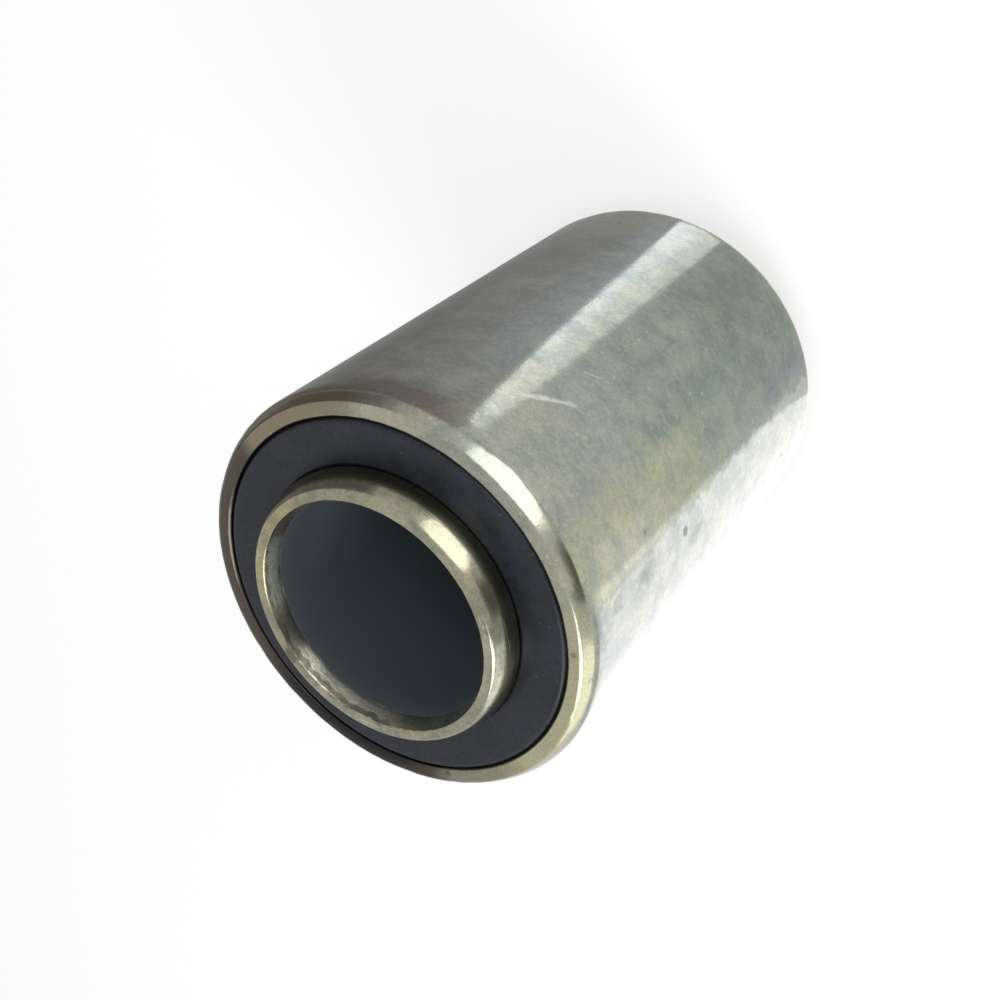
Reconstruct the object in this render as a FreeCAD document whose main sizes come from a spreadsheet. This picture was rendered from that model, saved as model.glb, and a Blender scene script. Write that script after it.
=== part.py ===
import FreeCAD, Part
import os
import Sketcher

# Rubber metal bush: two steel sleeves, one inside the other, joined by a moulded rubber ring.
# Sizes are in millimetres. The bush stands on one end with its axis along +Z.
# The origin is the centre of the bore at mid-length, and both ends are the same.

SIZES = {
    "bore_diameter": (20.0, "bore of the inner sleeve, which takes a bolt or pin"),
    "inner_wall": (2.0, "wall of the inner sleeve"),
    "rubber_wall": (4.0, "rubber between the sleeves, across the radius"),
    "outer_wall": (2.0, "wall of the outer sleeve, which is pressed into an eye"),
    "outer_length": (50.0, "length of the outer sleeve"),
    "inner_stand_out": (2.5, "length of inner sleeve that stands out of the outer sleeve at each end"),
    "outer_lead_depth": (0.75, "lead-in outside the outer sleeve, across the radius"),
    "outer_lead_length": (1.25, "lead-in outside the outer sleeve, along the axis"),
    "outer_mouth_break": (0.25, "broken inside edge of the outer sleeve, the same both ways"),
    "inner_lead_depth": (0.45, "lead-in outside the inner sleeve, across the radius"),
    "inner_lead_length": (1.5, "lead-in outside the inner sleeve, along the axis"),
    "bore_lead_depth": (0.4, "turned lead-in of the bore, across the radius"),
    "bore_lead_length": (1.6, "turned lead-in of the bore, along the axis"),
    "rubber_recess": (0.1, "depth of the rubber's rim below the end of the outer sleeve"),
    "rubber_dish": (0.3, "depth of the moulded hollow across the rubber's end, below its rim"),
    "rubber_lip": (0.35, "bevelled lip that leaves a crevice beside the outer sleeve, the same both ways"),
}

# Radii, each built on the one inside it, and the heights of the two sleeves' upper ends.
BORE = "sizes.bore_diameter / 2"
INNER_OUTSIDE = f"{BORE} + sizes.inner_wall"
OUTER_INSIDE = f"{INNER_OUTSIDE} + sizes.rubber_wall"
OUTER_OUTSIDE = f"{OUTER_INSIDE} + sizes.outer_wall"
OUTER_END = "sizes.outer_length / 2"
INNER_END = f"{OUTER_END} + sizes.inner_stand_out"

# The two ends of a line or arc, and the sketch's own origin and horizontal axis.
START = 1
END = 2
ORIGIN = (-1, 1)
MID_PLANE = -1

# How near two points must be to count as one.
SAME_PLACE = 1e-6


def add_sheet(doc):
    """Write the driving sizes to a sheet, one row and one alias for each."""
    sheet = doc.addObject("Spreadsheet::Sheet", "sizes")
    for row, (name, (value, note)) in enumerate(SIZES.items(), start=1):
        sheet.set(f"A{row}", name)
        sheet.set(f"B{row}", str(value))
        sheet.set(f"C{row}", note)
        sheet.setAlias(f"B{row}", name)
    doc.recompute()


def add_sketch(body, name):
    """Attach a sketch to the upright plane of its own body: radius to the right, height up."""
    planes = {feature.Role: feature for feature in body.Origin.OriginFeatures}
    sketch = body.newObject("Sketcher::SketchObject", name)
    sketch.AttachmentSupport = [(planes["XZ_Plane"], "")]
    sketch.MapMode = "FlatFace"
    return sketch


def add_size(sketch, kind, places, name, size):
    """Add one named dimension to a sketch and tie it to the sheet."""
    index = sketch.addConstraint(Sketcher.Constraint(kind, *places, sketch.evalExpression(size)))
    sketch.renameConstraint(index, name)
    sketch.setExpression(f"Constraints.{name}", size)


def end_at(sketch, edge, point):
    """Say which end of an edge lies at a point."""
    if sketch.getPoint(edge, START).distanceToPoint(point) < SAME_PLACE:
        return START
    return END


def add_outline(sketch, upper_corners, hollow=None):
    """Draw a closed section that is the same above and below the mid-plane.

    upper_corners lists (radius, height) from the bore outwards, each written in terms of the sheet.
    hollow is (edge, depth, arc radius) where one of the edges between those corners is dished.
    """
    upper = [tuple(sketch.evalExpression(size) for size in corner) for corner in upper_corners]
    corners = upper + [(radius, -height) for radius, height in reversed(upper)]
    points = [FreeCAD.Vector(radius, height, 0) for radius, height in corners]
    count = len(points)
    dished = {}
    if hollow is not None:
        depth = sketch.evalExpression(hollow[1])
        dished = {hollow[0]: -depth, count - 2 - hollow[0]: depth}
    for edge in range(count):
        here, there = points[edge], points[(edge + 1) % count]
        if edge in dished:
            middle = (here + there) * 0.5 + FreeCAD.Vector(0, dished[edge], 0)
            sketch.addGeometry(Part.Arc(here, middle, there))
        else:
            sketch.addGeometry(Part.LineSegment(here, there))
    for edge, point in enumerate(points):
        before = (edge - 1) % count
        joint = (before, end_at(sketch, before, point), edge, end_at(sketch, edge, point))
        sketch.addConstraint(Sketcher.Constraint("Coincident", *joint))
    for edge, (radius, height) in enumerate(upper_corners):
        corner = (edge, end_at(sketch, edge, points[edge]))
        mirrored = count - 1 - edge
        below = (mirrored, end_at(sketch, mirrored, points[mirrored]))
        add_size(sketch, "DistanceX", (*ORIGIN, *corner), f"radius_{edge}", radius)
        add_size(sketch, "DistanceY", (*ORIGIN, *corner), f"height_{edge}", height)
        sketch.addConstraint(Sketcher.Constraint("Symmetric", *corner, *below, MID_PLANE))
    if hollow is not None:
        above, below = dished
        sketch.addConstraint(Sketcher.Constraint("Equal", above, below))
        add_size(sketch, "Radius", (above,), "dish_radius", hollow[2])


def add_turned_body(doc, name, upper_corners, hollow=None):
    """Make one piece of the bush by turning its section once round the axis."""
    body = doc.addObject("PartDesign::Body", name)
    body.Label = name
    body.Placement = FreeCAD.Placement()
    section = add_sketch(body, f"{name}_section")
    add_outline(section, upper_corners, hollow)
    turned = body.newObject("PartDesign::Revolution", f"{name}_turned")
    turned.Profile = section
    turned.ReferenceAxis = (section, ["V_Axis"])
    turned.Angle = 360
    return body


def add_outer_sleeve(doc):
    """Tube with a lead-in outside both ends and a broken edge inside."""
    return add_turned_body(doc, "outer_sleeve", [
        (OUTER_INSIDE, f"{OUTER_END} - sizes.outer_mouth_break"),
        (f"{OUTER_INSIDE} + sizes.outer_mouth_break", OUTER_END),
        (f"{OUTER_OUTSIDE} - sizes.outer_lead_depth", OUTER_END),
        (OUTER_OUTSIDE, f"{OUTER_END} - sizes.outer_lead_length"),
    ])


def add_rubber_body(doc):
    """Ring that fills the space between the sleeves, with dished ends and a bevelled lip outside."""
    rim = f"{OUTER_END} - sizes.rubber_recess"
    crest = f"{OUTER_INSIDE} - sizes.rubber_lip"
    half_span = "((sizes.rubber_wall - sizes.rubber_lip) / 2)"
    dish_radius = f"({half_span} * {half_span} / sizes.rubber_dish + sizes.rubber_dish) / 2"
    return add_turned_body(doc, "rubber_body", [
        (INNER_OUTSIDE, rim),
        (crest, rim),
        (OUTER_INSIDE, f"{rim} - sizes.rubber_lip"),
    ], hollow=(0, "sizes.rubber_dish", dish_radius))


def add_inner_sleeve(doc):
    """Longer tube with a lead-in outside both ends and a turned lead-in at both mouths of its bore."""
    return add_turned_body(doc, "inner_sleeve", [
        (BORE, f"{INNER_END} - sizes.bore_lead_length"),
        (f"{BORE} + sizes.bore_lead_depth", INNER_END),
        (f"{INNER_OUTSIDE} - sizes.inner_lead_depth", INNER_END),
        (INNER_OUTSIDE, f"{INNER_END} - sizes.inner_lead_length"),
    ])


def check(doc, pieces):
    """Stop where a feature has failed or a piece isn't one valid solid."""
    doc.recompute()
    for item in doc.Objects:
        if "Invalid" in item.State or "Error" in item.State:
            raise RuntimeError(f"{item.Label} failed: {item.State}")
    for piece in pieces:
        shape = piece.Shape
        if shape.isNull() or not shape.isValid() or len(shape.Solids) != 1:
            raise RuntimeError(f"{piece.Label} isn't one valid solid")


def main():
    """Build the three pieces, check them and write one file for each."""
    doc = FreeCAD.newDocument("rubber_metal_bush")
    add_sheet(doc)
    pieces = [add_outer_sleeve(doc), add_rubber_body(doc), add_inner_sleeve(doc)]
    check(doc, pieces)
    os.makedirs("parts", exist_ok=True)
    for piece in pieces:
        piece.Shape.exportStep(f"parts/{piece.Label}.step")
        print(piece.Label, round(piece.Shape.Volume, 3), "mm3")


main()
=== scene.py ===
import logging
import math
from collections.abc import Sequence
from dataclasses import dataclass
from enum import Enum
from functools import cache, reduce

import bmesh
import bpy
from mathutils import Matrix, Vector, noise


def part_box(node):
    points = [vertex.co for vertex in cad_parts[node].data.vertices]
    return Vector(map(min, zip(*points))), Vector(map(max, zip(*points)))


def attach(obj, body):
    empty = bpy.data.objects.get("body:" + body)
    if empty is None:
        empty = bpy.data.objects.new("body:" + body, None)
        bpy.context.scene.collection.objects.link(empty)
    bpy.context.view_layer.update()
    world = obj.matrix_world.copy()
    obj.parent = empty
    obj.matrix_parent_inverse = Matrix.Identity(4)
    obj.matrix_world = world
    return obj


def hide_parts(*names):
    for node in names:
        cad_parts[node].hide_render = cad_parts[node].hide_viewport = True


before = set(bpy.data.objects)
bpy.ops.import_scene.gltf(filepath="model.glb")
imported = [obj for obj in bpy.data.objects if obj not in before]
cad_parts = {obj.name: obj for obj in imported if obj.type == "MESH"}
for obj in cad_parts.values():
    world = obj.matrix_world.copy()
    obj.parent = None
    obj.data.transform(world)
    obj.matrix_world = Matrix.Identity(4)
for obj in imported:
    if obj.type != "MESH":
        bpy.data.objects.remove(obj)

LOG = logging.getLogger("bush")

# One millimetre, in the scene's metres.
MM = 0.001

# How many steps one turn round the axis takes.
TURN_STEPS = 360

# How near two places must be to count as one, in metres.
SAME_PLACE = 1e-6

# The height of the bush's upper end, in millimetres.
UPPER_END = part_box("inner_sleeve")[1].z / MM

Colour = tuple[float, float, float, float]
Place = tuple[float, float, float]
Pair = tuple[float, float]
Object, Material = bpy.types.Object, bpy.types.Material
Node, Socket, Tree = bpy.types.Node, bpy.types.NodeSocket, bpy.types.NodeTree
Value = float | tuple[float, ...] | Socket


def tint(red: float, green: float, blue: float) -> Colour:
    """Give an opaque colour from its linear parts."""
    return (red, green, blue, 1.0)


WHITE = tint(1.0, 1.0, 1.0)


def toward(azimuth: float) -> Place:
    """Give the level unit vector that points to an azimuth in degrees, counted from +X to +Y."""
    turn = math.radians(azimuth)
    return (math.cos(turn), math.sin(turn), 0.0)


def show(name: str, data: bpy.types.ID) -> Object:
    """Put a mesh, lamp or camera into the scene as an object at the origin."""
    shown = bpy.data.objects.new(name, data)
    bpy.context.scene.collection.objects.link(shown)
    return shown


@dataclass
class Graph:
    """A shader, world or group tree under construction."""

    tree: Tree

    def node(self, kind: str, inputs: dict[str | int, Value] | None = None, **settings) -> Node:
        """Add one node.

        Args:
            kind: The node's type name.
            inputs: What each input takes, by its name or number: a value, or a socket to link.
            **settings: The node's own settings.

        Returns:
            The new node.
        """
        made = self.tree.nodes.new(kind)
        for name, value in settings.items():
            setattr(made, name, value)
        for key, value in (inputs or {}).items():
            self.feed(made.inputs[key], value)
        return made

    def feed(self, socket: Socket, value: Value) -> None:
        """Link a socket to an input, or set the input's own value.

        Args:
            socket: The input.
            value: The socket or the value that it takes.
        """
        if isinstance(value, Socket):
            self.tree.links.new(value, socket)
        else:
            socket.default_value = value

    def math(self, operation: str, *numbers: Value) -> Socket:
        """Get a number from one number or two."""
        return self.node("ShaderNodeMath", dict(enumerate(numbers)), operation=operation).outputs[0]

    def product(self, *numbers: Value) -> Value:
        """Multiply numbers."""
        return reduce(lambda first, second: self.math("MULTIPLY", first, second), numbers)

    def total(self, *numbers: Value) -> Value:
        """Add numbers."""
        return reduce(lambda first, second: self.math("ADD", first, second), numbers)

    def rest(self, share: Value) -> Socket:
        """Give what a share leaves of 1."""
        return self.math("SUBTRACT", 1.0, share)

    def smooth(self, value: Value, low: Value, high: Value) -> Socket:
        """Give 0 below low and 1 above high, with a soft step between them."""
        inputs = {"Value": value, "From Min": low, "From Max": high}
        made = self.node("ShaderNodeMapRange", inputs, interpolation_type="SMOOTHSTEP")
        return made.outputs["Result"]

    def span(self, value: Value, low: float, high: float) -> Socket:
        """Stretch a value of 0 to 1 over low to high."""
        inputs = {"Value": value, "To Min": low, "To Max": high}
        return self.node("ShaderNodeMapRange", inputs).outputs["Result"]

    def mix(self, share: Value, under: Value, over: Value, blend: str = "MIX") -> Socket:
        """Lay one colour over another by a share."""
        inputs = {0: share, 6: under, 7: over}
        return self.node("ShaderNodeMix", inputs, data_type="RGBA", blend_type=blend).outputs[2]

    def noise(self, place: Value, scale: Value, detail: float) -> bpy.types.bpy_prop_collection:
        """Give clouds over a place, as a number and as a colour, from how many a metre holds."""
        inputs = {"Vector": place, "Scale": scale, "Detail": detail}
        return self.node("ShaderNodeTexNoise", inputs).outputs

    def vector(self, operation: str, *places: Value) -> Socket:
        """Get a vector from one vector or two."""
        return self.node("ShaderNodeVectorMath", dict(enumerate(places)), operation=operation).outputs[0]

    def number(self, operation: str, *places: Value) -> Socket:
        """Get a number from one vector or two."""
        made = self.node("ShaderNodeVectorMath", dict(enumerate(places)), operation=operation)
        return made.outputs["Value"]

    def level(self, place: Value) -> Socket:
        """Drop the height from a position."""
        return self.vector("MULTIPLY", place, (1.0, 1.0, 0.0))

    def facing(self, place: Value, direction: Value) -> Socket:
        """Give the cosine of the turn round the axis between a position and a level direction."""
        return self.number("DOT_PRODUCT", self.vector("NORMALIZE", self.level(place)), direction)


class Effect(Enum):
    """The shader node groups that the finishes share: each one's name, inputs and outputs."""

    ROUND_PLACE = ("round_place", "Place", "Radius Height End")
    SECTOR = ("sector", "Place Toward Reach Fade", "Mask")
    BAND = ("band", "Value Low High Fade", "Mask")
    CLOUDY_TINT = ("cloudy_tint", "Place Scale Dark Middle Light", "Color Mask")
    METAL_GRAIN = ("metal_grain", "Place Scale Depth", "Height Mask")
    DRAWN_LINES = ("drawn_lines", "Place Scale Depth", "Height Mask")
    SPOTS = ("spots", "Place Scale Size", "Mask")
    STROKE = ("stroke", "Place First Last Width", "Mask")


# The type of each socket that isn't a number.
SOCKET_KINDS = {
    **dict.fromkeys(("Place", "Toward", "First", "Last"), "NodeSocketVector"),
    **dict.fromkeys(("Dark", "Middle", "Light", "Color"), "NodeSocketColor"),
}


class Group(Graph):
    """A shared shader node group under construction."""

    # How much finer the inner clouds are, the broad ones' share, and where the tints start and end.
    finer_clouds = 4.7
    broad_share = 0.62
    cloud_limits = (0.36, 0.64)

    # Where grain and drawn lines start and end, and the hard core's share of a spot.
    grain_limits = (0.35, 0.65)
    line_limits = (0.62, 0.72)
    spot_core = 0.6

    def __init__(self, effect: Effect) -> None:
        """Start the group with its sockets and its two end nodes.

        Args:
            effect: The effect that it gives.
        """
        name, takes, gives = effect.value
        super().__init__(bpy.data.node_groups.new(name, "ShaderNodeTree"))
        for way, names in (("INPUT", takes), ("OUTPUT", gives)):
            for socket in names.split():
                kind = SOCKET_KINDS.get(socket, "NodeSocketFloat")
                self.tree.interface.new_socket(name=socket, in_out=way, socket_type=kind)
        entry = self.node("NodeGroupInput")
        self.takes = [entry.outputs[socket] for socket in takes.split()]
        self.exit = self.node("NodeGroupOutput")

    def give(self, **results: Value) -> None:
        """Send results out by name."""
        for name, value in results.items():
            self.feed(self.exit.inputs[name], value)

    def round_place(self) -> None:
        """Turn a position into millimetres from the axis, above mid-length and towards either end."""
        [place] = self.takes
        away = self.number("LENGTH", self.level(place))
        height = self.math("DIVIDE", self.node("ShaderNodeSeparateXYZ", {0: place}).outputs["Z"], MM)
        self.give(Radius=self.math("DIVIDE", away, MM), Height=height, End=self.math("ABSOLUTE", height))

    def sector(self) -> None:
        """Mark the part of a turn that lies within some degrees of a direction."""
        place, direction, reach, fade = self.takes
        turn = self.math("DEGREES", self.math("ARCCOSINE", self.facing(place, direction)))
        beyond = self.smooth(turn, self.math("SUBTRACT", reach, fade), self.total(reach, fade))
        self.give(Mask=self.rest(beyond))

    def band(self) -> None:
        """Mark where a value lies between two others."""
        value, low, high, fade = self.takes
        rise, fall = (
            self.smooth(value, self.math("SUBTRACT", side, fade), self.total(side, fade))
            for side in (low, high)
        )
        self.give(Mask=self.product(rise, self.rest(fall)))

    def cloudy_tint(self) -> None:
        """Blend three tints in clouds, with finer mottling inside them."""
        place, scale, dark, middle, light = self.takes
        broad = self.product(self.noise(place, scale, 4.0)[0], self.broad_share)
        finer = self.noise(place, self.product(scale, self.finer_clouds), 3.0)[0]
        both = self.total(broad, self.product(finer, 1.0 - self.broad_share))
        mask = self.smooth(both, *self.cloud_limits)
        lower = self.mix(self.smooth(mask, 0.0, 0.5), dark, middle)
        self.give(Color=self.mix(self.smooth(mask, 0.5, 1.0), lower, light), Mask=mask)

    def metal_grain(self) -> None:
        """Give the fine orange-peel grain of a plated surface, in millimetres of height."""
        place, scale, depth = self.takes
        fine = self.noise(place, scale, 3.0)[0]
        self.give(Height=self.product(fine, depth), Mask=self.smooth(fine, *self.grain_limits))

    def drawn_lines(self) -> None:
        """Give thin lines along whichever axis the place is squeezed on, in millimetres of height."""
        place, scale, depth = self.takes
        line = self.smooth(self.noise(place, scale, 2.0)[0], *self.line_limits)
        self.give(Height=self.product(line, depth, -1.0), Mask=line)

    def spots(self) -> None:
        """Mark scattered small spots of uneven size."""
        place, scale, size = self.takes
        cells = self.node("ShaderNodeTexVoronoi", {"Vector": place, "Scale": scale})
        uneven = self.product(size, self.noise(place, scale, 1.0)[0])
        spot = self.smooth(cells.outputs["Distance"], self.product(uneven, self.spot_core), uneven)
        self.give(Mask=self.rest(spot))

    def stroke(self) -> None:
        """Mark a thin straight stroke between two places, which thins out at its ends."""
        place, first, last, width = self.takes
        run = self.vector("SUBTRACT", last, first)
        along = self.vector("SUBTRACT", place, first)
        reached = self.number("DOT_PRODUCT", along, run)
        share = self.math("DIVIDE", reached, self.number("DOT_PRODUCT", run, run))
        share = self.math("MAXIMUM", self.math("MINIMUM", share, 1.0), 0.0)
        foot = self.node("ShaderNodeVectorMath", {0: run, "Scale": share}, operation="SCALE").outputs[0]
        away = self.number("LENGTH", self.vector("SUBTRACT", along, foot))
        thick = self.math("POWER", self.product(share, self.rest(share), 4.0), 0.5)
        self.give(Mask=self.product(self.rest(self.smooth(away, 0.0, width)), thick))


@cache
def shared_group(effect: Effect) -> Tree:
    """Build a shared group when a finish first asks for it.

    Args:
        effect: The effect that it gives.

    Returns:
        The group's tree.
    """
    group = Group(effect)
    makers = {
        Effect.ROUND_PLACE: group.round_place, Effect.SECTOR: group.sector, Effect.BAND: group.band,
        Effect.CLOUDY_TINT: group.cloudy_tint, Effect.METAL_GRAIN: group.metal_grain,
        Effect.DRAWN_LINES: group.drawn_lines, Effect.SPOTS: group.spots, Effect.STROKE: group.stroke,
    }
    makers[effect]()
    return group.tree


@dataclass(frozen=True)
class Patch:
    """A stretch of the surface, round the axis and along it, with a tint of its own.

    Azimuths and widths are in degrees, and the band is in millimetres above mid-length.
    """

    azimuth: float
    half_width: float
    fade: float
    band: Pair
    band_fade: float
    tint: Colour
    share: float


@dataclass(frozen=True)
class Stroke:
    """A scratch between two places on a round wall, each an azimuth in degrees and a height.

    The heights, the wall's radius and the scratch's width are in millimetres.
    """

    radius: float
    first: Pair
    last: Pair
    width: float
    share: float

    def on_wall(self, azimuth: float, height: float) -> Place:
        """Give a place on the wall in metres."""
        east, north, _ = toward(azimuth)
        return (self.radius * east * MM, self.radius * north * MM, height * MM)


@dataclass(frozen=True)
class Texture:
    """A fine pattern: how many marks a metre holds, and their size, or their depth in millimetres."""

    scale: float
    size: float = 0.0
    depth: float = 0.0
    detail: float = 2.0


class Finish:
    """A procedural material under construction, read from object coordinates."""

    # How many waves a metre holds in the edges of patches and of scratches, and their finer layers.
    patch_waves = (700.0, 5.0)
    scratch_waves = (1500.0, 3.0)
    scratch_raggedness = 0.25

    def __init__(self, name: str) -> None:
        """Start a material with its shader and its coordinates.

        Args:
            name: The material's name.
        """
        self.material = bpy.data.materials.new(name)
        self.material.use_nodes = True
        self.graph = Graph(self.material.node_tree)
        self.shader = self.material.node_tree.nodes["Principled BSDF"]
        self.where = self.graph.node("ShaderNodeTexCoord").outputs["Object"]
        polar = self.effect(Effect.ROUND_PLACE)
        self.radius = polar["Radius"]
        self.end = polar["End"]

    def effect(self, effect: Effect, **inputs: Value) -> bpy.types.bpy_prop_collection:
        """Place a shared effect.

        Args:
            effect: The effect.
            **inputs: What its inputs take. It follows the plain position where no Place is given.

        Returns:
            Its outputs.
        """
        group = self.graph.tree.nodes.new("ShaderNodeGroup")
        group.node_tree = shared_group(effect)
        if "Place" in group.inputs:
            inputs.setdefault("Place", self.where)
        for name, value in inputs.items():
            self.graph.feed(group.inputs[name], value)
        return group.outputs

    def band(self, value: Value, low: float, high: float, fade: float) -> Socket:
        """Mark where a value lies between two others."""
        return self.effect(Effect.BAND, Value=value, Low=low, High=high, Fade=fade)["Mask"]

    def texture(self, effect: Effect, texture: Texture, **inputs: Value) -> bpy.types.bpy_prop_collection:
        """Place a shared effect that draws a fine pattern.

        Args:
            effect: The effect.
            texture: The pattern.
            **inputs: What its other inputs take.

        Returns:
            Its outputs.
        """
        sizes = {"Scale": texture.scale, "Size": texture.size, "Depth": texture.depth}
        taken = {name: size for name, size in sizes.items() if name in effect.value[1].split()}
        return self.effect(effect, **taken, **inputs)

    def relief(self, texture: Texture) -> Socket:
        """Give the clouds of a pattern as millimetres of height."""
        clouds = self.graph.noise(self.where, texture.scale, texture.detail)[0]
        return self.graph.product(clouds, texture.depth)

    def stretched(self, scale: Place) -> Socket:
        """Stretch the position by one factor for each axis."""
        return self.graph.node("ShaderNodeMapping", {"Vector": self.where, "Scale": scale}).outputs[0]

    def wander(self, scale: float, detail: float, reach: float) -> Socket:
        """Pull the position about by waves, which gives what follows it a ragged edge.

        Args:
            scale: How many waves a metre holds.
            detail: How many finer layers the waves have.
            reach: How far they pull, in millimetres.

        Returns:
            The moved position.
        """
        waves = self.graph.noise(self.where, scale, detail)["Color"]
        centred = self.graph.vector("SUBTRACT", waves, (0.5,) * 3)
        pull = self.graph.vector("MULTIPLY", centred, (2.0 * reach * MM,) * 3)
        return self.graph.vector("ADD", self.where, pull)

    def lay(self, under: Value, over: Value, *shares: Value) -> Socket:
        """Lay one colour over another by the product of some shares."""
        return self.graph.mix(self.graph.product(*shares), under, over)

    def patches(self, colour: Value, patches: Sequence[Patch], raggedness: float) -> Socket:
        """Lay patches of tint with ragged edges over a colour.

        Args:
            colour: The colour underneath.
            patches: The patches, from the lowest to the one on top.
            raggedness: How far the edges wander, in millimetres.

        Returns:
            The colour with its patches.
        """
        moved = self.wander(*self.patch_waves, raggedness)
        height = self.effect(Effect.ROUND_PLACE, Place=moved)["Height"]
        for patch in patches:
            direction = toward(patch.azimuth)
            across = self.effect(
                Effect.SECTOR, Place=moved, Toward=direction, Reach=patch.half_width, Fade=patch.fade,
            )
            along = self.band(height, *patch.band, patch.band_fade)
            colour = self.lay(colour, patch.tint, across["Mask"], along, patch.share)
        return colour

    def strokes(self, strokes: Sequence[Stroke]) -> Socket:
        """Mark scratches, with edges that waver a little.

        Args:
            strokes: The scratches.

        Returns:
            The mask.
        """
        moved = self.wander(*self.scratch_waves, self.scratch_raggedness)
        mask = 0.0
        for stroke in strokes:
            first, last = stroke.on_wall(*stroke.first), stroke.on_wall(*stroke.last)
            mark = self.effect(Effect.STROKE, Place=moved, First=first, Last=last, Width=stroke.width * MM)
            mask = self.graph.math("MAXIMUM", mask, self.graph.product(mark["Mask"], stroke.share))
        return mask

    def bump(self, *heights: Value) -> Socket:
        """Give the normal that heights in millimetres leave."""
        inputs = {"Height": self.graph.total(*heights), "Distance": MM, "Strength": 1.0}
        return self.graph.node("ShaderNodeBump", inputs).outputs[0]

    def speckle(self, colour: Value, mask: Value, contrast: float) -> Socket:
        """Make a colour lighter and darker by a share, following a fine mask."""
        level = self.graph.span(mask, 1.0 - contrast, 1.0 + contrast)
        grey = self.graph.node("ShaderNodeCombineColor", {0: level, 1: level, 2: level}).outputs[0]
        return self.graph.mix(1.0, colour, grey, "MULTIPLY")

    def finish(self, inputs: dict[str, Value]) -> Material:
        """Feed the shader's inputs by name and give the material."""
        for name, value in inputs.items():
            self.graph.feed(self.shader.inputs[name], value)
        return self.material


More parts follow.
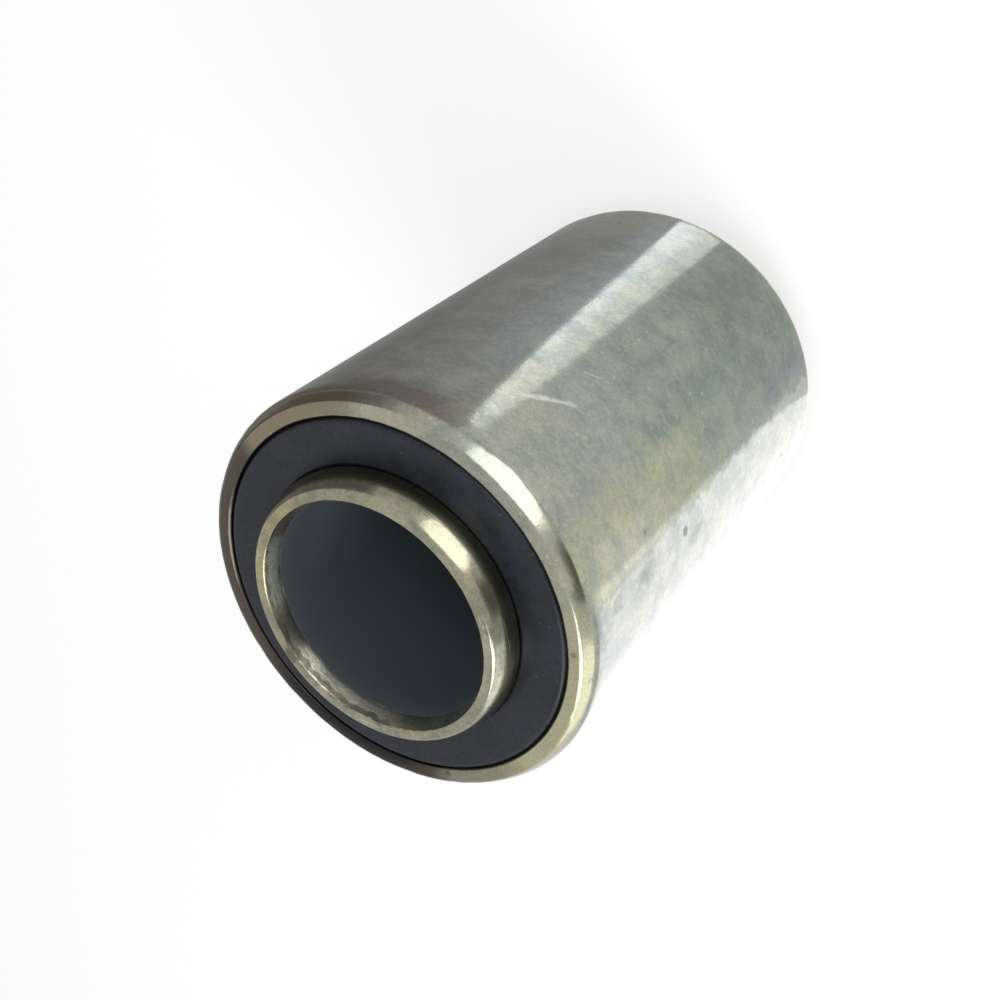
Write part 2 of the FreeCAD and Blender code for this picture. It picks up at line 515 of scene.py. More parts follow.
@dataclass(frozen=True)
class OuterZinc:
    """Zinc plating with a mottled greenish-yellow passivation, on the outer sleeve, whose tints also paint
    reflected shade and highlights.

    Radii, heights, fades and depths are in millimetres.
    """

    slot: str = "outer_sleeve_zinc"
    base: Colour = tint(0.275, 0.29, 0.26)
    cool: Colour = tint(0.84, 0.88, 0.90)
    warm: Colour = tint(1.14, 1.12, 1.05)
    rim: Colour = tint(0.30, 0.30, 0.24)
    lead: Colour = tint(0.31, 0.315, 0.255)
    worn: Colour = tint(0.52, 0.53, 0.50)
    speck: Colour = tint(0.62, 0.64, 0.60)
    spot: Colour = tint(0.08, 0.08, 0.07)
    face_inside: float = 15.0
    face_outside: float = 17.2
    face_height: float = 24.88
    face_fade: float = 0.06
    lead_height: float = 23.85
    lead_fade: float = 0.12
    top: float = 26.0
    lead_share: float = 0.75
    rim_share: float = 0.8
    speck_share: float = 0.16
    spot_share: float = 0.6
    wall_raggedness: float = 1.6
    end_raggedness: float = 0.8
    cloud_scale: float = 400.0
    grain: Texture = Texture(5200.0, depth=0.0022)
    grain_contrast: float = 0.07
    specks: Texture = Texture(900.0, size=0.30)
    spots: Texture = Texture(120.0, size=0.09)
    lines: Texture = Texture(2600.0, depth=0.0010)
    line_stretch: Place = (1.0, 1.0, 0.04)
    waves: Texture = Texture(600.0, depth=0.005)
    ripple: Texture = Texture(1900.0, depth=0.0042, detail=3.0)
    scratch_depth: float = 0.01
    roughness: Pair = (0.17, 0.11)
    spot_roughness: float = 0.25
    scratch_roughness: float = 0.2
    lead_roughness: float = 0.06

    # Tints round the wall: mottled plating, and also painted reflection and shade, lighter and darker by
    # azimuth and height.
    wall_tints_and_painted_light: tuple[Patch, ...] = (
        # Painted reflected shade: lighter towards the upper end and darker towards the lower end on this
        # side.
        Patch(-92.0, 34.0, 10.0, (13.0, 26.0), 5.0, tint(0.29, 0.30, 0.25), 0.8),
        Patch(-95.0, 28.0, 10.0, (-26.0, 8.0), 7.0, tint(0.22, 0.25, 0.21), 0.8),
        Patch(-97.0, 22.0, 10.0, (-26.0, -8.0), 5.0, tint(0.155, 0.175, 0.145), 0.6),
        Patch(-105.0, 7.0, 4.0, (-20.0, 8.0), 6.0, tint(0.20, 0.255, 0.205), 0.5),
        Patch(-115.0, 9.0, 5.0, (2.0, 26.0), 4.0, tint(0.38, 0.385, 0.245), 0.6),
        Patch(-118.5, 5.0, 3.5, (12.0, 23.0), 4.0, tint(0.44, 0.445, 0.385), 0.6),
        Patch(-119.0, 4.0, 2.0, (-24.0, -13.0), 2.0, tint(0.17, 0.19, 0.215), 0.7),
        # Painted highlight: a pale stretch where the wall mirrors bright surroundings.
        Patch(-147.0, 21.0, 0.9, (-24.5, 22.8), 0.9, tint(0.40, 0.405, 0.39), 0.8),
        Patch(-131.0, 2.6, 1.2, (13.0, 16.5), 1.0, tint(0.21, 0.22, 0.19), 0.65),
        Patch(-135.0, 2.2, 1.0, (4.0, 6.5), 0.9, tint(0.22, 0.23, 0.20), 0.6),
        Patch(-129.5, 1.8, 0.9, (19.5, 21.5), 0.8, tint(0.22, 0.23, 0.19), 0.6),
        # Lighter towards the upper end and darker towards the lower end: partly plating tone and partly
        # painted reflected shade.
        Patch(-44.0, 22.0, 9.0, (-6.0, 28.0), 5.0, tint(0.375, 0.375, 0.345), 0.9),
        Patch(-42.0, 20.0, 9.0, (-30.0, -6.0), 5.0, tint(0.245, 0.245, 0.215), 0.7),
        # A lighter bluish stretch under the mirrored streak, which partly paints its highlight.
        Patch(-60.0, 7.0, 4.0, (-26.0, 14.0), 6.0, tint(0.36, 0.40, 0.41), 0.6),
        Patch(-50.0, 17.0, 6.0, (21.3, 25.5), 1.2, tint(0.19, 0.155, 0.135), 0.75),
        Patch(-24.0, 10.0, 6.0, (-30.0, 26.0), 4.0, tint(0.17, 0.155, 0.13), 0.7),
        Patch(60.0, 40.0, 18.0, (-26.0, -6.0), 6.0, tint(0.27, 0.28, 0.22), 0.5),
        Patch(130.0, 20.0, 12.0, (-4.0, 18.0), 6.0, tint(0.35, 0.35, 0.26), 0.5),
        Patch(-170.0, 18.0, 10.0, (-24.0, 0.0), 6.0, tint(0.24, 0.27, 0.235), 0.6),
    )
    end_patches: tuple[Patch, ...] = (
        Patch(-160.0, 34.0, 14.0, (24.0, 30.0), 0.2, tint(0.385, 0.37, 0.215), 0.65),
        Patch(160.0, 14.0, 8.0, (24.0, 30.0), 0.3, tint(0.19, 0.175, 0.125), 0.75),
        Patch(-20.0, 22.0, 6.0, (23.0, 30.0), 0.3, tint(0.20, 0.165, 0.105), 0.85),
        # Darkens one side of the upper rim and its lead-in, from about azimuth 0 to 150.
        Patch(74.0, 74.0, 5.0, (24.15, 30.0), 0.55, tint(0.070, 0.058, 0.050), 0.96),
        Patch(110.0, 28.0, 10.0, (24.15, 30.0), 0.55, tint(0.028, 0.025, 0.027), 0.95),
        Patch(-100.0, 24.0, 12.0, (-30.0, -23.2), 0.5, tint(0.22, 0.20, 0.15), 0.5),
        Patch(40.0, 50.0, 20.0, (-30.0, -22.8), 0.6, tint(0.16, 0.14, 0.11), 0.6),
    )
    scratches: tuple[Stroke, ...] = (
        Stroke(18.0, (-73.0, 16.3), (-84.5, 12.8), 0.42, 1.0),
        Stroke(18.0, (-79.0, 9.0), (-83.0, 8.0), 0.16, 0.5),
        Stroke(18.0, (-33.0, 2.0), (-38.0, -6.0), 0.14, 0.45),
        Stroke(18.0, (40.0, 10.0), (58.0, 4.0), 0.16, 0.6),
        Stroke(18.0, (118.0, -12.0), (122.0, 3.0), 0.14, 0.5),
        Stroke(18.0, (-165.0, -3.0), (-172.0, 12.0), 0.15, 0.5),
    )

    def make(self) -> Material:
        """Build the material.

        Returns:
            The material.
        """
        finish = Finish(self.slot)
        graph = finish.graph
        colour = finish.patches(self.base, self.wall_tints_and_painted_light, self.wall_raggedness)
        lead = finish.band(finish.end, self.lead_height, self.top, self.lead_fade)
        colour = finish.lay(colour, self.lead, lead, self.lead_share)
        face = graph.product(
            finish.band(finish.radius, self.face_inside, self.face_outside, self.face_fade),
            finish.band(finish.end, self.face_height, self.top, self.face_fade),
        )
        colour = finish.lay(colour, self.rim, face, self.rim_share)
        clouds = finish.effect(
            Effect.CLOUDY_TINT, Scale=self.cloud_scale, Dark=self.cool, Middle=WHITE, Light=self.warm,
        )
        colour = graph.mix(1.0, colour, clouds["Color"], "MULTIPLY")
        specks = finish.texture(Effect.SPOTS, self.specks)["Mask"]
        colour = finish.lay(colour, self.speck, specks, self.speck_share)
        colour = finish.patches(colour, self.end_patches, self.end_raggedness)
        grain = finish.texture(Effect.METAL_GRAIN, self.grain)
        colour = finish.speckle(colour, grain["Mask"], self.grain_contrast)
        spots = finish.texture(Effect.SPOTS, self.spots)["Mask"]
        colour = finish.lay(colour, self.spot, spots, self.spot_share)
        scratch = finish.strokes(self.scratches)
        colour = finish.lay(colour, self.worn, scratch)
        lines = finish.texture(Effect.DRAWN_LINES, self.lines, Place=finish.stretched(self.line_stretch))
        rough = graph.total(
            graph.span(clouds["Mask"], *self.roughness), graph.product(spots, self.spot_roughness),
            graph.product(scratch, self.scratch_roughness), graph.product(lead, self.lead_roughness),
        )
        normal = finish.bump(
            grain["Height"], lines["Height"], finish.relief(self.waves), finish.relief(self.ripple),
            graph.product(scratch, -self.scratch_depth),
        )
        finish.shader.inputs["Metallic"].default_value = 1.0
        return finish.finish({"Base Color": colour, "Roughness": rough, "Normal": normal})


@dataclass(frozen=True)
class InnerZinc:
    """Zinc plating outside and at the turned mouths of the inner sleeve, with painted highlights and
    reflected shade at the mouth, and a dull dark bore whose tint also paints its shade.

    Radii, heights and fades are in millimetres.
    """

    slot: str = "inner_sleeve_zinc"
    base: Colour = tint(0.265, 0.258, 0.188)
    cool: Colour = tint(0.80, 0.82, 0.84)
    warm: Colour = tint(1.20, 1.18, 1.12)
    worn: Colour = tint(0.55, 0.54, 0.46)
    # Painted shade in the bore: a dull dark tint, darkest near the mouth, where the lamps reach in, and
    # lighter deeper down.
    bore_mouth_painted_shade: Colour = tint(0.038, 0.044, 0.052)
    bore_deep_painted_shade: Colour = tint(0.115, 0.135, 0.165)
    turned: Colour = tint(0.44, 0.44, 0.36)
    spot: Colour = tint(0.10, 0.085, 0.06)
    bore_height: float = 25.85
    bore_radius: float = 10.6
    bore_fade: float = 0.1
    mouth_radius: float = 10.36
    mouth_fade: float = 0.05
    top: float = 28.0
    edge_fade: float = 0.08
    spot_share: float = 0.6
    mark_share: float = 0.45
    raggedness: float = 0.6
    cloud_scale: float = 420.0
    grain: Texture = Texture(5200.0, depth=0.0025)
    grain_contrast: float = 0.08
    spots: Texture = Texture(300.0, size=0.16)
    lines: Texture = Texture(5200.0, depth=0.004)
    line_stretch: Place = (0.06, 0.06, 1.0)
    pits: Texture = Texture(2600.0, depth=0.02, detail=3.0)
    roughness: Pair = (0.22, 0.16)
    mouth_roughness: float = 0.14
    bore_roughness: float = 0.38

    # Where the bore's painted shade turns from its deep tint to the one at its mouth: low, high and fade.
    bore_shade_band: tuple[float, float, float] = (20.0, 30.0, 8.0)

    # Patches on the lip and the turned mouth: a brownish tint, then painted light, painted highlights and
    # painted reflected shade round the turn.
    patches: tuple[Patch, ...] = (
        Patch(15.0, 30.0, 10.0, (24.0, 28.0), 0.5, tint(0.32, 0.28, 0.16), 0.6),
        # Painted light: lighter where the lip faces bright surroundings.
        Patch(-140.0, 22.0, 10.0, (24.0, 28.0), 0.5, tint(0.31, 0.31, 0.235), 0.6),
        # Painted reflected shade: darker stretches of the mouth and the lip.
        Patch(64.0, 14.0, 8.0, (25.0, 28.0), 0.5, tint(0.22, 0.20, 0.15), 0.5),
        Patch(148.0, 9.0, 5.0, (25.0, 28.0), 0.5, tint(0.24, 0.23, 0.17), 0.5),
        Patch(-133.0, 9.0, 6.0, (24.5, 27.3), 0.25, tint(0.125, 0.13, 0.11), 0.8),
        Patch(-40.0, 16.0, 8.0, (24.5, 27.2), 0.25, tint(0.17, 0.17, 0.15), 0.6),
        # Painted highlights on the bore's lead-in.
        Patch(86.0, 7.0, 5.0, (25.9, 27.1), 0.2, tint(1.0, 0.98, 0.78), 0.8),
        Patch(36.0, 20.0, 8.0, (25.9, 27.1), 0.2, tint(0.95, 0.98, 0.86), 0.75),
        # Painted reflected shade between the highlights.
        Patch(68.0, 7.0, 4.0, (25.9, 27.2), 0.2, tint(0.22, 0.23, 0.20), 0.6),
        # Painted highlight on the bore's lead-in.
        Patch(122.0, 16.0, 8.0, (25.9, 27.2), 0.2, tint(0.75, 0.73, 0.60), 0.7),
        # A thin dark line below the mouth's edge: partly a turned groove's mark and partly painted
        # reflected shade.
        Patch(100.0, 34.0, 8.0, (26.9, 27.42), 0.08, tint(0.10, 0.09, 0.06), 0.7),
    )
    scratches: tuple[Stroke, ...] = (
        Stroke(10.9, (-128.0, 27.5), (-118.0, 27.5), 0.12, 0.7),
        Stroke(11.0, (22.0, 27.5), (31.0, 27.5), 0.12, 0.6),
        Stroke(11.8, (-48.0, 26.9), (-41.0, 26.3), 0.12, 0.5),
        Stroke(10.8, (121.0, 27.5), (136.0, 27.5), 0.10, 0.6),
    )

    def make(self) -> Material:
        """Build the material.

        Returns:
            The material.
        """
        finish = Finish(self.slot)
        graph = finish.graph
        clouds = finish.effect(
            Effect.CLOUDY_TINT, Scale=self.cloud_scale, Dark=self.cool, Middle=WHITE, Light=self.warm,
        )
        mouth = graph.product(
            finish.band(finish.radius, 0.0, self.mouth_radius, self.mouth_fade),
            finish.band(finish.end, self.bore_height, self.top, self.edge_fade),
        )
        colour = finish.patches(graph.mix(mouth, self.base, self.turned), self.patches, self.raggedness)
        colour = graph.mix(1.0, colour, clouds["Color"], "MULTIPLY")
        grain = finish.texture(Effect.METAL_GRAIN, self.grain)
        colour = finish.speckle(colour, grain["Mask"], self.grain_contrast)
        spots = finish.texture(Effect.SPOTS, self.spots)["Mask"]
        colour = finish.lay(colour, self.spot, spots, self.spot_share)
        colour = finish.lay(colour, self.worn, finish.strokes(self.scratches))
        lines = finish.texture(Effect.DRAWN_LINES, self.lines, Place=finish.stretched(self.line_stretch))
        colour = finish.lay(colour, self.spot, lines["Mask"], mouth, self.mark_share)
        inside = graph.product(
            finish.band(finish.radius, 0.0, self.bore_radius, self.bore_fade),
            finish.band(finish.end, -1.0, self.bore_height, self.edge_fade),
        )
        rough = graph.total(
            graph.span(clouds["Mask"], *self.roughness),
            graph.product(mouth, self.mouth_roughness), graph.product(inside, self.bore_roughness),
        )
        pits = graph.product(finish.relief(self.pits), mouth)
        # The bore's tint, which paints its shade.
        bore = graph.mix(finish.band(finish.end, *self.bore_shade_band), self.bore_deep_painted_shade, self.bore_mouth_painted_shade)
        return finish.finish({
            "Base Color": graph.mix(inside, colour, bore), "Roughness": rough,
            "Normal": finish.bump(grain["Height"], lines["Height"], pits),
            "Metallic": graph.rest(inside),
        })


@dataclass(frozen=True)
class MouldedRubber:
    """Black rubber with the satin skin of a steel mould."""

    slot: str = "moulded_rubber"
    dark: Colour = tint(0.0045, 0.0065, 0.012)
    middle: Colour = tint(0.008, 0.010, 0.0165)
    light: Colour = tint(0.012, 0.0145, 0.0225)
    dust: Colour = tint(0.06, 0.06, 0.06)
    dust_share: float = 0.4
    cloud_scale: float = 380.0
    grain: Texture = Texture(4800.0, depth=0.008)
    grain_contrast: float = 0.2
    specks: Texture = Texture(900.0, size=0.22)
    roughness: Pair = (0.34, 0.42)
    shine: float = 0.27

    def make(self) -> Material:
        """Build the material.

        Returns:
            The material.
        """
        finish = Finish(self.slot)
        tints = {"Dark": self.dark, "Middle": self.middle, "Light": self.light}
        clouds = finish.effect(Effect.CLOUDY_TINT, Scale=self.cloud_scale, **tints)
        grain = finish.texture(Effect.METAL_GRAIN, self.grain)
        colour = finish.speckle(clouds["Color"], grain["Mask"], self.grain_contrast)
        specks = finish.texture(Effect.SPOTS, self.specks)["Mask"]
        colour = finish.lay(colour, self.dust, specks, self.dust_share)
        rough = finish.graph.span(clouds["Mask"], *self.roughness)
        finish.shader.inputs["Specular IOR Level"].default_value = self.shine
        normal = finish.bump(grain["Height"])
        return finish.finish({"Base Color": colour, "Roughness": rough, "Normal": normal})


# How many faces go round a small corner.
SMALL_SEGMENTS = 3


@dataclass(frozen=True)
class Corner:
    """One corner of a piece's upper half section, in millimetres."""

    radius: float
    height: float
    rounding: float = 0.0
    segments: int = 5


class Ring:
    """A closed ring whose section is drawn once above mid-length, mirrored and turned round the axis."""

    def __init__(self, name: str, corners: Sequence[Corner], wall_cuts: int) -> None:
        """Draw, mirror and spin the section.

        Args:
            name: The piece's name.
            corners: The upper half of the section, from the bore outwards.
            wall_cuts: How often each half of the outer wall is cut across.
        """
        self.name = name
        self.corners = corners
        self.bm = bmesh.new()
        places = [(corners[0].radius, 0.0)]
        places += [(corner.radius, corner.height) for corner in corners]
        places += [(corners[-1].radius, 0.0)]
        chain = [self.bm.verts.new((radius * MM, 0.0, height * MM)) for radius, height in places]
        lines = [self.bm.edges.new(pair) for pair in zip(chain, chain[1:])]
        bmesh.ops.subdivide_edges(self.bm, edges=[lines[0], lines[-1]], cuts=wall_cuts)
        drawn = self.bm.verts[:] + self.bm.edges[:]
        bmesh.ops.mirror(self.bm, geom=drawn, matrix=Matrix(), merge_dist=SAME_PLACE, axis="Z")
        section = self.bm.verts[:] + self.bm.edges[:]
        bmesh.ops.spin(
            self.bm, geom=section, cent=(0, 0, 0), axis=(0, 0, 1), dvec=(0, 0, 0),
            angle=math.tau, steps=TURN_STEPS, use_merge=True,
        )
        bmesh.ops.remove_doubles(self.bm, verts=self.bm.verts, dist=SAME_PLACE)
        bmesh.ops.recalc_face_normals(self.bm, faces=self.bm.faces)

    def circle(self, radius: float, height: float) -> list[bmesh.types.BMEdge]:
        """Find the edges of the two circles at one radius and height, above and below.

        Args:
            radius: In millimetres.
            height: In millimetres from mid-length.

        Returns:
            The edges.
        """
        def lies(vert: bmesh.types.BMVert) -> bool:
            """Tell whether a vertex is on either circle."""
            away = math.hypot(vert.co.x, vert.co.y)
            level = abs(abs(vert.co.z) - height * MM) < SAME_PLACE
            return level and abs(away - radius * MM) < SAME_PLACE

        return [edge for edge in self.bm.edges if all(lies(vert) for vert in edge.verts)]

    def round_corners(self) -> None:
        """Round every corner that has a rounding."""
        for corner in self.corners:
            if corner.rounding > 0.0:
                edges = self.circle(corner.radius, corner.height)
                bmesh.ops.bevel(
                    self.bm, geom=edges, offset=corner.rounding * MM, offset_type="OFFSET",
                    segments=corner.segments, profile=0.5, affect="EDGES", material=-1,
                )

    def wear(self, depth: float, reach: float, scale: float) -> None:
        """Press small uneven dents into the corners.

        Args:
            depth: How deep the deepest dent is, in millimetres.
            reach: How far from a corner the dents fade out, in millimetres.
            scale: How many dents a millimetre holds.
        """
        self.bm.normal_update()
        rounded = [corner for corner in self.corners if corner.rounding > 0.0]
        for vert in self.bm.verts:
            away, up = math.hypot(vert.co.x, vert.co.y) / MM, abs(vert.co.z) / MM
            near = min(math.hypot(away - corner.radius, up - corner.height) for corner in rounded)
            if near < reach:
                bite = max(0.0, noise.noise(vert.co * scale / MM))
                vert.co -= vert.normal * (depth * MM * bite * (1.0 - near / reach))

    def finish(self, radius: float) -> Object:
        """Turn the mesh into a smooth object at the origin.

        Args:
            radius: What the turning may not pass, in millimetres.

        Returns:
            The object.
        """
        for vert in self.bm.verts:
            away = math.hypot(vert.co.x, vert.co.y)
            if away > radius * MM:
                vert.co.xy *= radius * MM / away
        mesh = bpy.data.meshes.new(self.name)
        self.bm.to_mesh(mesh)
        self.bm.free()
        mesh.shade_smooth()
        piece = show(self.name, mesh)
        weighted = piece.modifiers.new("even_shading", "WEIGHTED_NORMAL")
        weighted.mode = "FACE_AREA"
        weighted.keep_sharp = False
        return piece


class Piece:
    """One piece of the bush, which stands for a node of the frame."""

    node: str
    slot: str

    def join(self, piece: Object, material: Material) -> None:
        """Give a piece its finish and its place in the frame.

        Args:
            piece: The finished object.
            material: Its finish.
        """
        piece.data.materials.append(material)
        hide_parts(self.node)
        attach(piece, "root")
        LOG.info("%s: %d faces", piece.name, len(piece.data.polygons))


@dataclass
class OuterSleeve(Piece):
    """Steel tube with a lead-in outside both ends and a broken edge inside, in millimetres."""

    node: str = "outer_sleeve"
    slot: str = "outer_sleeve_zinc"
    radius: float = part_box("outer_sleeve")[1].x / MM
    end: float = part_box("outer_sleeve")[1].z / MM
    wall: float = 2.0
    lead_depth: float = 0.75
    lead_length: float = 1.25
    mouth_break: float = 0.25
    mouth_rounding: float = 0.10
    face_rounding: float = 0.28
    wall_rounding: float = 0.45
    wall_cuts: int = 16
    dent_depth: float = 0.05
    dent_reach: float = 0.7
    dents_per_mm: float = 0.9

    def build(self) -> None:
        """Turn and dress the sleeve."""
        inside = self.radius - self.wall
        ring = Ring("outer_sleeve_tube", [
            Corner(inside, self.end - self.mouth_break),
            Corner(inside + self.mouth_break, self.end, self.mouth_rounding, SMALL_SEGMENTS),
            Corner(self.radius - self.lead_depth, self.end, self.face_rounding),
            Corner(self.radius, self.end - self.lead_length, self.wall_rounding),
        ], self.wall_cuts)
        ring.round_corners()
        ring.wear(self.dent_depth, self.dent_reach, self.dents_per_mm)
        self.join(ring.finish(self.radius), OuterZinc().make())


@dataclass
class RubberBody(Piece):
    """Moulded ring between the sleeves, dished at both ends, in millimetres."""

    node: str = "rubber_body"
    slot: str = "moulded_rubber"
    radius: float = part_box("rubber_body")[1].x / MM
    rim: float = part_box("rubber_body")[1].z / MM
    wall: float = 4.0
    dish: float = 0.3
    lip: float = 0.35
    lip_rounding: float = 0.15
    wall_cuts: int = 2
    dish_curve: float = 1.3
    dish_steps: int = 18

    def build(self) -> None:
        """Mould and dress the ring."""
        inside = self.radius - self.wall
        crest = self.radius - self.lip
        ring = Ring("rubber_ring", [
            *self.hollow(inside, crest),
            Corner(crest, self.rim, self.lip_rounding, SMALL_SEGMENTS),
            Corner(self.radius, self.rim - self.lip),
        ], self.wall_cuts)
        ring.round_corners()
        self.join(ring.finish(self.radius), MouldedRubber().make())

    def hollow(self, inside: float, crest: float) -> list[Corner]:
        """Give the points of the dish, which is deepest beside the inner sleeve.

        Args:
            inside: Where the dish starts.
            crest: Where it ends.

        Returns:
            The points from the inner sleeve up to the last one before the crest.
        """
        shares = [step / self.dish_steps for step in range(self.dish_steps)]
        return [
            Corner(
                inside + (crest - inside) * share,
                self.rim - self.dish * (1.0 - share) ** self.dish_curve,
            )
            for share in shares
        ]


@dataclass
class InnerSleeve(Piece):
    """Longer steel tube with a lead-in outside both ends and turned mouths, in millimetres."""

    node: str = "inner_sleeve"
    slot: str = "inner_sleeve_zinc"
    radius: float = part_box("inner_sleeve")[1].x / MM
    end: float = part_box("inner_sleeve")[1].z / MM
    wall: float = 2.0
    bore_lead_depth: float = 0.4
    bore_lead_length: float = 1.6
    lip_depth: float = 0.85
    lip_length: float = 2.0
    lip_curve: float = 1.35
    lip_steps: int = 16
    mouth_steps: int = 8
    mouth_curve: float = 1.15
    mouth_rounding: float = 0.12
    wall_cuts: int = 12
    dent_depth: float = 0.035
    dent_reach: float = 0.9
    dents_per_mm: float = 1.1

    def build(self) -> None:
        """Turn and dress the sleeve."""
        bore = self.radius - self.wall
        ring = Ring("inner_sleeve_tube", [
            *self.mouth(bore),
            Corner(bore + self.bore_lead_depth, self.end, self.mouth_rounding),
            *self.lip(),
        ], self.wall_cuts)
        ring.round_corners()
        ring.wear(self.dent_depth, self.dent_reach, self.dents_per_mm)
        self.join(ring.finish(self.radius), InnerZinc().make())

    def lip(self) -> list[Corner]:
        """Give the points of the lead-in outside, a flattened quarter oval.

        Returns:
            The points from the face to the wall.
        """
        turns = [math.radians(90.0 * step / self.lip_steps) for step in range(self.lip_steps + 1)]
        inside, foot = self.radius - self.lip_depth, self.end - self.lip_length
        return [
            Corner(
                inside + self.lip_depth * math.sin(turn) ** self.lip_curve,
                foot + self.lip_length * max(0.0, math.cos(turn)) ** self.lip_curve,
            )
            for turn in turns
        ]

    def mouth(self, bore: float) -> list[Corner]:
        """Give the points of the bore's lead-in, which opens in a gentle curve.

        Args:
            bore: The bore's radius.

        Returns:
            The points from the bore up to the last one before the face.
        """
        shares = [step / self.mouth_steps for step in range(self.mouth_steps)]
        start = self.end - self.bore_lead_length
        return [
            Corner(
                bore + self.bore_lead_depth * share ** self.mouth_curve,
                start + self.bore_lead_length * share,
            )
            for share in shares
        ]


def lay_sheet(name: str, bm: bmesh.types.BMesh) -> tuple[Object, Graph]:
    """Put a flat sheet on the stage, with a material that has no shader yet.

    Args:
        name: The sheet's name.
        bm: Its faces, in the scene's metres.

    Returns:
        The sheet and its material's tree.
    """
    mesh = bpy.data.meshes.new(name)
    bm.to_mesh(mesh)
    bm.free()
    sheet = show(name, mesh)
    material = bpy.data.materials.new(name)
    material.use_nodes = True
    mesh.materials.append(material)
    graph = Graph(material.node_tree)
    graph.tree.nodes.remove(graph.tree.nodes["Principled BSDF"])
    return sheet, graph


@dataclass(frozen=True)
class Panel:
    """A flat rectangle in the studio, which the camera doesn't see.

    Its level is what a mirror would show. Its place and sizes are in millimetres. It lies face up at a
    tilt of 0 and stands at 90, and its width runs towards the azimuth.
    """

    name: str
    level: float
    place: Place
    azimuth: float = 0.0
    tilt: float = 0.0
    width: float = 1.0
    height: float = 1.0

    @classmethod
    def hung(
        cls, name: str, level: float, side: float, up: float, away: float, width: float, height: float,
    ) -> "Panel":
        """Hang a panel round the bush, facing its upper end.

        Args:
            name: The panel's name.
            level: What a mirror would show.
            side: The azimuth where it hangs, in degrees.
            up: How high it hangs, in degrees above the upper end.
            away: How far off it hangs.
            width: How wide it is.
            height: How high it is.

        Returns:
            The panel.
        """
        east, north, _ = toward(side)
        level_away = away * math.cos(math.radians(up))
        place = (level_away * east, level_away * north, UPPER_END + away * math.sin(math.radians(up)))
        return cls(name, level, place, side - 90.0, 90.0 + up, width, height)

    def matrix(self) -> Matrix:
        """Give the panel's place and turn, with its face along its own +Z."""
        turn = Matrix.Rotation(math.radians(self.azimuth), 4, "Z")
        lean = Matrix.Rotation(math.radians(self.tilt), 4, "X")
        return Matrix.Translation(Vector(self.place) * MM) @ turn @ lean


class Lamp(Panel):
    """A panel that shines."""

    shape = "RECTANGLE"

    # How much of its rectangle the lamp fills.
    filled = 1.0

    def build(self) -> None:
        """Hang the lamp."""
        lamp = bpy.data.lights.new(self.name, "AREA")
        lamp.shape = self.shape
        lamp.size = self.width * MM
        lamp.size_y = self.height * MM
        lamp.energy = self.level * math.pi * lamp.size * lamp.size_y * self.filled
        hung = show(self.name, lamp)
        hung.matrix_world = self.matrix() @ Matrix.Rotation(math.pi, 4, "X")
        hung.visible_camera = False


class RoundLamp(Lamp):
    """A lamp with an oval face."""

    shape = "ELLIPSE"
    filled = math.pi / 4.0


class Flag(Panel):
    """A panel with a level of its own that only mirrors show."""

    # The share of the way from its middle to its edge over which the flag fades.
    soft_edge = 0.35

    def build(self) -> None:
        """Set up the flag."""
        bm = bmesh.new()
        self.draw(bm)
        bmesh.ops.transform(bm, matrix=self.matrix(), verts=bm.verts)
        flag, graph = lay_sheet(self.name, bm)
        flag.visible_camera = False
        flag.visible_diffuse = False
        flag.visible_shadow = False
        where = graph.node("ShaderNodeTexCoord").outputs["Object"]
        inputs = {"Color": WHITE, "Strength": self.strength(graph, where)}
        glow = graph.node("ShaderNodeEmission", inputs).outputs[0]
        graph.feed(graph.tree.nodes["Material Output"].inputs["Surface"], glow)

    def draw(self, bm: bmesh.types.BMesh) -> None:
        """Draw the flag's face flat, with its middle at the origin."""
        bmesh.ops.create_grid(bm, x_segments=1, y_segments=1, size=0.5)
        bmesh.ops.scale(bm, vec=(self.width * MM, self.height * MM, 1.0), verts=bm.verts)

    def strength(self, graph: Graph, where: Socket) -> Socket:
        """Give what a mirror shows, which fades to plain white at the edges.

        Args:
            graph: The flag's material.
            where: The position on the flag.

        Returns:
            The strength of the glow.
        """
        away = graph.vector("SUBTRACT", where, tuple(Vector(self.place) * MM))
        shares = []
        for axis, size in enumerate((self.width, self.height)):
            run = graph.number("DOT_PRODUCT", away, tuple(self.matrix().col[axis].xyz))
            shares.append(graph.math("ABSOLUTE", graph.math("DIVIDE", run, size * MM / 2.0)))
        faded = graph.smooth(graph.math("MAXIMUM", *shares), 1.0 - self.soft_edge, 1.0)
        return graph.total(graph.product(faded, 1.0 - self.level), self.level)


@dataclass(frozen=True)
class FadingFlag(Flag):
    """A flag on the floor that darkens round the bush, from one azimuth to another."""

    first: float = -45.0
    last: float = 25.0
    last_level: float = 0.3
    clear: float = 128.0
    clear_width: float = 62.0

    def strength(self, graph: Graph, where: Socket) -> Socket:
        """Give what a mirror shows: dark towards one azimuth, and plain white towards another.

        Args:
            graph: The flag's material.
            where: The position on the flag.

        Returns:
            The strength of the glow.
        """
        dark = graph.node("ShaderNodeMapRange", {
            "Value": graph.facing(where, toward(self.last)),
            "From Min": math.cos(math.radians(self.last - self.first)), "From Max": 1.0,
            "To Min": self.level, "To Max": self.last_level,
        }).outputs["Result"]
        edge = math.cos(math.radians(self.clear_width))
        white = graph.smooth(graph.facing(where, toward(self.clear)), edge, 1.0)
        return graph.math("MAXIMUM", dark, white)


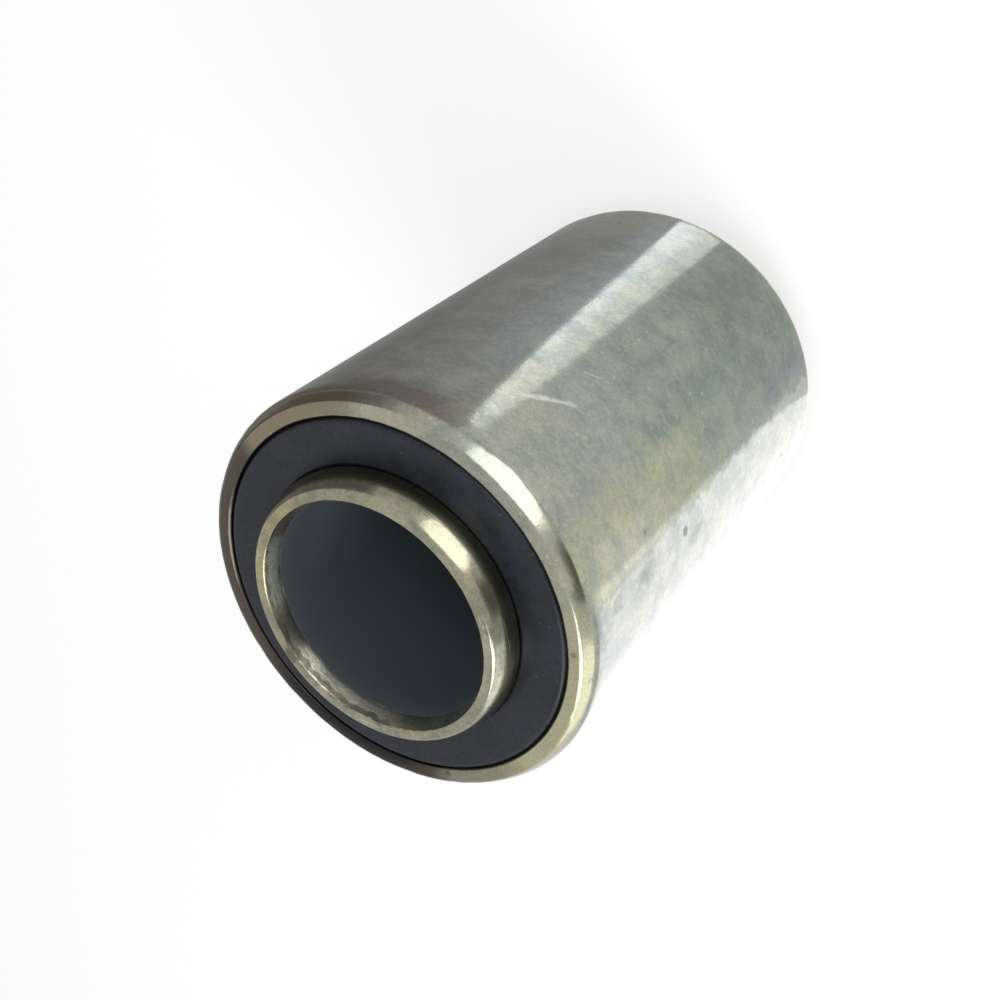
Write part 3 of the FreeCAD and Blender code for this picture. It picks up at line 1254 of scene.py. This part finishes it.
@dataclass(frozen=True)
class Streak(Flag):
    """A bright strip on the floor, laid where the outer sleeve mirrors it to the camera.

    Each row is a height on the sleeve in millimetres and the two azimuths between which the strip shows.
    """

    rows: tuple[tuple[float, float, float], ...] = (
        (-25.5, -58.0, -73.5),
        (-20.0, -59.1, -73.3),
        (-12.0, -60.8, -73.0),
        (-4.0, -62.5, -73.0),
        (4.0, -64.2, -73.0),
        (11.0, -65.8, -72.7),
        (15.5, -67.0, -71.9),
        (18.0, -68.2, -70.6),
    )
    wall: float = 18.0
    fall: float = 1.07
    near: float = 50.0
    far: float = 60.0
    far_level: float = 2.7

    def mirrored(self, height: float, azimuth: float) -> Place:
        """Give the place on the floor that the camera sees mirrored at a place on the sleeve.

        Args:
            height: The place's height above mid-length, in millimetres.
            azimuth: Its azimuth in degrees.

        Returns:
            The place on the floor, in metres.
        """
        away = (height + UPPER_END) / self.fall
        place = Vector(toward(azimuth)) * self.wall + Vector(toward(2.0 * azimuth + 90.0)) * away
        return tuple(place * MM)

    def draw(self, bm: bmesh.types.BMesh) -> None:
        """Draw the strip between its two edges."""
        pairs = [
            [bm.verts.new(self.mirrored(height, azimuth)) for azimuth in sides]
            for height, *sides in self.rows
        ]
        for (left, right), (next_left, next_right) in zip(pairs, pairs[1:]):
            bm.faces.new((left, right, next_right, next_left))

    def strength(self, graph: Graph, where: Socket) -> Socket:
        """Give what a mirror shows, which is brighter at the far end."""
        away = graph.number("LENGTH", graph.level(where))
        return graph.span(graph.smooth(away, self.near * MM, self.far * MM), self.level, self.far_level)


@dataclass
class Studio:
    """A pale floor, an even surround, the lamps and the flags, in millimetres."""

    floor_height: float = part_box("inner_sleeve")[0].z / MM - 0.02
    flag_gap: float = 0.1
    streak_gap: float = 0.2
    floor_half_width: float = 1500.0
    floor_white: float = 0.85
    glow_share: float = 0.5
    glow_level: float = 1.16
    surround_diffuse: float = 0.7
    surround_glossy: float = 1.0

    def build(self) -> None:
        """Make the floor, the surround, the lamps and the flags."""
        self.build_floor()
        self.build_surround()
        for panel in self.panels():
            panel.build()
            LOG.info("panel %s", panel.name)

    def panels(self) -> list[Panel]:
        """List the lamps and flags. The flags on the floor lie just above it, and the streak over them."""
        low = self.floor_height + self.flag_gap
        over = low + self.streak_gap
        return [
            Lamp.hung("key", 4.0, 172.0, 35.0, 500.0, 300.0, 300.0),
            RoundLamp.hung("front", 2.8, -86.0, 10.0, 110.0, 80.0, 140.0),
            Lamp.hung("side", 1.35, 172.0, -2.0, 250.0, 230.0, 120.0),
            Streak("streak", 1.9, (0.0, 0.0, over)),
            Lamp("glare", 0.7, (-43.0, 11.0, low), -158.0, 0.0, 62.0, 66.0),
            FadingFlag("low_flag", 0.62, (114.0, 43.0, low), -54.0, 0.0, 400.0, 236.0),
            Flag.hung("tall_flag", 0.29, 13.0, -2.0, 150.0, 310.0, 108.0),
            Flag.hung("gap_flag", 0.20, -131.0, -3.0, 170.0, 98.0, 86.0),
        ]

    def build_floor(self) -> None:
        """Lay the floor, which the camera and mirrors see nearly white, with the bush's shadow on it."""
        bm = bmesh.new()
        bmesh.ops.create_grid(bm, x_segments=1, y_segments=1, size=self.floor_half_width * MM)
        bmesh.ops.translate(bm, verts=bm.verts, vec=(0.0, 0.0, self.floor_height * MM))
        _, graph = lay_sheet("floor", bm)
        path = graph.node("ShaderNodeLightPath").outputs
        mirrored = graph.math("MAXIMUM", path["Is Glossy Ray"], path["Is Transmission Ray"])
        seen = graph.math("MAXIMUM", path["Is Camera Ray"], mirrored)
        lit = graph.node("ShaderNodeBsdfDiffuse", {"Color": tint(*[self.floor_white] * 3)}).outputs[0]
        glow = graph.node("ShaderNodeEmission", {"Color": WHITE, "Strength": self.glow_level}).outputs[0]
        inputs = {0: graph.product(seen, self.glow_share), 1: lit, 2: glow}
        both = graph.node("ShaderNodeMixShader", inputs).outputs[0]
        graph.feed(graph.tree.nodes["Material Output"].inputs["Surface"], both)

    def build_surround(self) -> None:
        """Surround the stage with white for the camera and an even grey for everything else."""
        world = bpy.data.worlds.new("surround")
        bpy.context.scene.world = world
        world.use_nodes = True
        graph = Graph(world.node_tree)
        path = graph.node("ShaderNodeLightPath").outputs
        clear = graph.math("MAXIMUM", path["Is Camera Ray"], path["Is Transmission Ray"])
        extra = graph.product(path["Is Glossy Ray"], self.surround_glossy - self.surround_diffuse)
        background = graph.tree.nodes["Background"].inputs
        graph.feed(background["Color"], WHITE)
        strength = graph.math("MAXIMUM", clear, graph.total(extra, self.surround_diffuse))
        graph.feed(background["Strength"], strength)


@dataclass(frozen=True)
class PhotoCamera:
    """The camera that took the photograph, in the bush's own frame.

    It stands over the -Y side, looks towards +Y and down, and is rolled about its own line of sight. Its
    place and its sensor are in millimetres, its turns in degrees and its focal length in pixels.
    """

    place: Place = (0.276, -76.976, 91.44)
    look_down: float = 47.678
    roll: float = -131.363
    image_side: int = 1000
    focal_length: float = 1273.6
    sensor: float = 36.0
    farthest: float = 10000.0

    def build(self) -> None:
        """Set up the scene's camera."""
        data = bpy.data.cameras.new("photo_camera")
        data.sensor_width = self.sensor
        data.lens = self.focal_length * self.sensor / self.image_side
        data.clip_start = MM
        data.clip_end = self.farthest * MM
        camera = show("photo_camera", data)
        tilt = Matrix.Rotation(math.radians(90.0 - self.look_down), 4, "X")
        roll = Matrix.Rotation(math.radians(self.roll), 4, "Z")
        camera.matrix_world = Matrix.Translation(Vector(self.place) * MM) @ tilt @ roll
        bpy.context.scene.camera = camera


def main() -> None:
    """Build the bush, the studio and the camera."""
    logging.basicConfig(level=logging.INFO, format="%(name)s: %(message)s")
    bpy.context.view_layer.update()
    for part in (OuterSleeve(), RubberBody(), InnerSleeve()):
        part.build()
    Studio().build()
    PhotoCamera().build()
    bpy.context.scene.view_settings.view_transform = "Standard"


if __name__ == "__main__":
    main()
